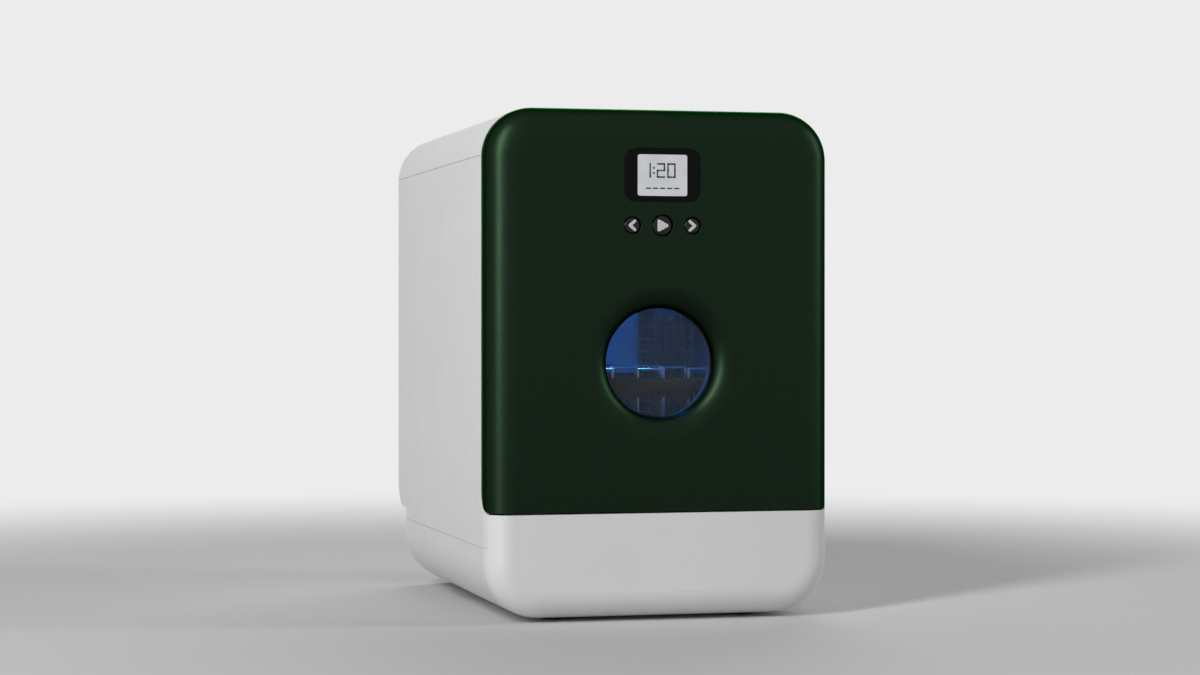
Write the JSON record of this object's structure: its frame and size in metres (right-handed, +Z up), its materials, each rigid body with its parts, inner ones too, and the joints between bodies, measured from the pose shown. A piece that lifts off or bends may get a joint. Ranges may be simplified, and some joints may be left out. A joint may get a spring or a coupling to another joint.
{
  "type": "countertop dishwasher",
  "caption": "Compact countertop dishwasher: rounded white body, dark green drop-down door with a round window, small display and keys, slide-out rack.",
  "frame": {"origin": "centre of the body's footprint, on the table surface under the feet", "axes": "+Z up, -Y towards the front with the door, +X to the right in a front view"},
  "size_m": [0.34, 0.49, 0.49],
  "materials": {
    "white_shell": "satin moulded plastic, fine texture",
    "green_front": "dark green metallic lacquer, satin",
    "glass": "clear tempered pane",
    "black_gloss": "polished black",
    "display": "lit pale grey display",
    "dark_plastic": "dark grey moulded plastic",
    "rubber": "soft black rubber",
    "steel": "plain bright steel",
    "wire": "polished wire",
    "tub_plastic": "pale grey smooth plastic",
    "lamp": "blue lit diffuser",
    "tank_plastic": "milky translucent plastic",
    "circuit_board": "green solder mask"
  },
  "bodies": {
    "housing": {"base_tray": "white_shell", "left_side_panel": "white_shell", "right_side_panel": "white_shell", "top_cover": "white_shell", "rear_cover": "white_shell", "front_frame": "white_shell", "feet": "rubber", "housing_screws": "steel", "hinge_brackets": "steel", "hinge_pins": "steel", "door_gasket": "rubber", "latch_catch": "dark_plastic", "switch_housing": "dark_plastic", "tub": "tub_plastic", "tub_lamp": "lamp", "rack_rails": "dark_plastic", "sump": "dark_plastic", "spray_spindle": "dark_plastic", "spindle_nut": "dark_plastic", "upper_spindle": "dark_plastic", "supply_tee": "dark_plastic", "spray_riser": "tub_plastic", "circulation_pump": "dark_plastic", "flow_heater": "steel", "drain_pump": "dark_plastic", "drain_hose": "rubber", "drain_outlet": "dark_plastic", "inlet_valve": "dark_plastic", "fill_hose": "tub_plastic", "water_tank": "tank_plastic", "filler_funnel": "dark_plastic", "air_duct": "dark_plastic", "fan_housing": "dark_plastic", "power_inlet": "dark_plastic", "power_board": "circuit_board"},
    "door": {"door_outer": "green_front", "door_liner": "white_shell", "outer_glass": "glass", "inner_glass": "glass", "window_ring": "dark_plastic", "screen_lens": "black_gloss", "display_module": "display", "control_board": "circuit_board", "button_switches": "dark_plastic", "hinge_arms": "steel", "door_striker": "steel"},
    "back_key": {"button_back": "black_gloss"},
    "start_key": {"button_start": "black_gloss"},
    "next_key": {"button_next": "black_gloss"},
    "rack": {"rack_frame": "dark_plastic", "rack_hoops": "wire"},
    "basket": {"cutlery_basket": "dark_plastic"},
    "lower_arm": {"lower_spray_arm": "dark_plastic"},
    "upper_arm": {"upper_spray_arm": "dark_plastic"},
    "pump_rotor": {"pump_impeller": "dark_plastic"},
    "drain_rotor": {"drain_impeller": "dark_plastic"},
    "fan": {"fan_rotor": "dark_plastic"},
    "flap": {"filler_flap": "white_shell"},
    "filter": {"filter_cup": "steel"},
    "plunger": {"switch_plunger": "white_shell"}
  },
  "joints": [
    {"name": "door_hinge", "type": "hinge", "parent": "housing", "child": "door", "pos_m": [0, -0.235, 0.1144], "axis": [1, 0, 0], "range_deg": [0, 90]},
    {"name": "rack_slide", "type": "slide", "parent": "housing", "child": "rack", "axis": [0, -1, 0], "range_m": [0, 0.101]},
    {"name": "basket_lift", "type": "slide", "parent": "rack", "child": "basket", "axis": [0, 0, 1], "range_m": [0, 0.068]},
    {"name": "lower_arm_spin", "type": "hinge", "parent": "housing", "child": "lower_arm", "pos_m": [0, -0.01, 0.135], "axis": [0, 0, 1], "continuous": true},
    {"name": "upper_arm_spin", "type": "hinge", "parent": "housing", "child": "upper_arm", "pos_m": [0, -0.01, 0.385], "axis": [0, 0, 1], "continuous": true},
    {"name": "pump_spin", "type": "hinge", "parent": "housing", "child": "pump_rotor", "pos_m": [-0.04, 0.072, 0.045], "axis": [1, 0, 0], "continuous": true},
    {"name": "drain_spin", "type": "hinge", "parent": "housing", "child": "drain_rotor", "pos_m": [0.076, -0.04, 0.04], "axis": [0, 1, 0], "continuous": true},
    {"name": "fan_spin", "type": "hinge", "parent": "housing", "child": "fan", "pos_m": [0.116, 0.22, 0.4385], "axis": [0, 1, 0], "continuous": true},
    {"name": "flap_hinge", "type": "hinge", "parent": "housing", "child": "flap", "pos_m": [-0.04, 0.1823, 0.4883], "axis": [-1, 0, 0], "range_deg": [0, 95]},
    {"name": "filter_twist", "type": "hinge", "parent": "housing", "child": "filter", "pos_m": [0.072, 0.072, 0.1], "axis": [0, 0, 1], "range_deg": [0, 45]},
    {"name": "switch_slide", "type": "slide", "parent": "housing", "child": "plunger", "axis": [0, -1, 0], "range_m": [0, 0.003]},
    {"name": "back_press", "type": "slide", "parent": "door", "child": "back_key", "axis": [0, 1, 0], "range_m": [0, 0.001], "stiffness_N_per_m": 600},
    {"name": "start_press", "type": "slide", "parent": "door", "child": "start_key", "axis": [0, 1, 0], "range_m": [0, 0.001], "stiffness_N_per_m": 600},
    {"name": "next_press", "type": "slide", "parent": "door", "child": "next_key", "axis": [0, 1, 0], "range_m": [0, 0.001], "stiffness_N_per_m": 600}
  ],
  "couplings": [
    {"joint": "rack_slide", "follows": "door_hinge", "m_per_rad": 0.064},
    {"joint": "switch_slide", "follows": "door_hinge", "m_per_rad": 0.0019}
  ]
}
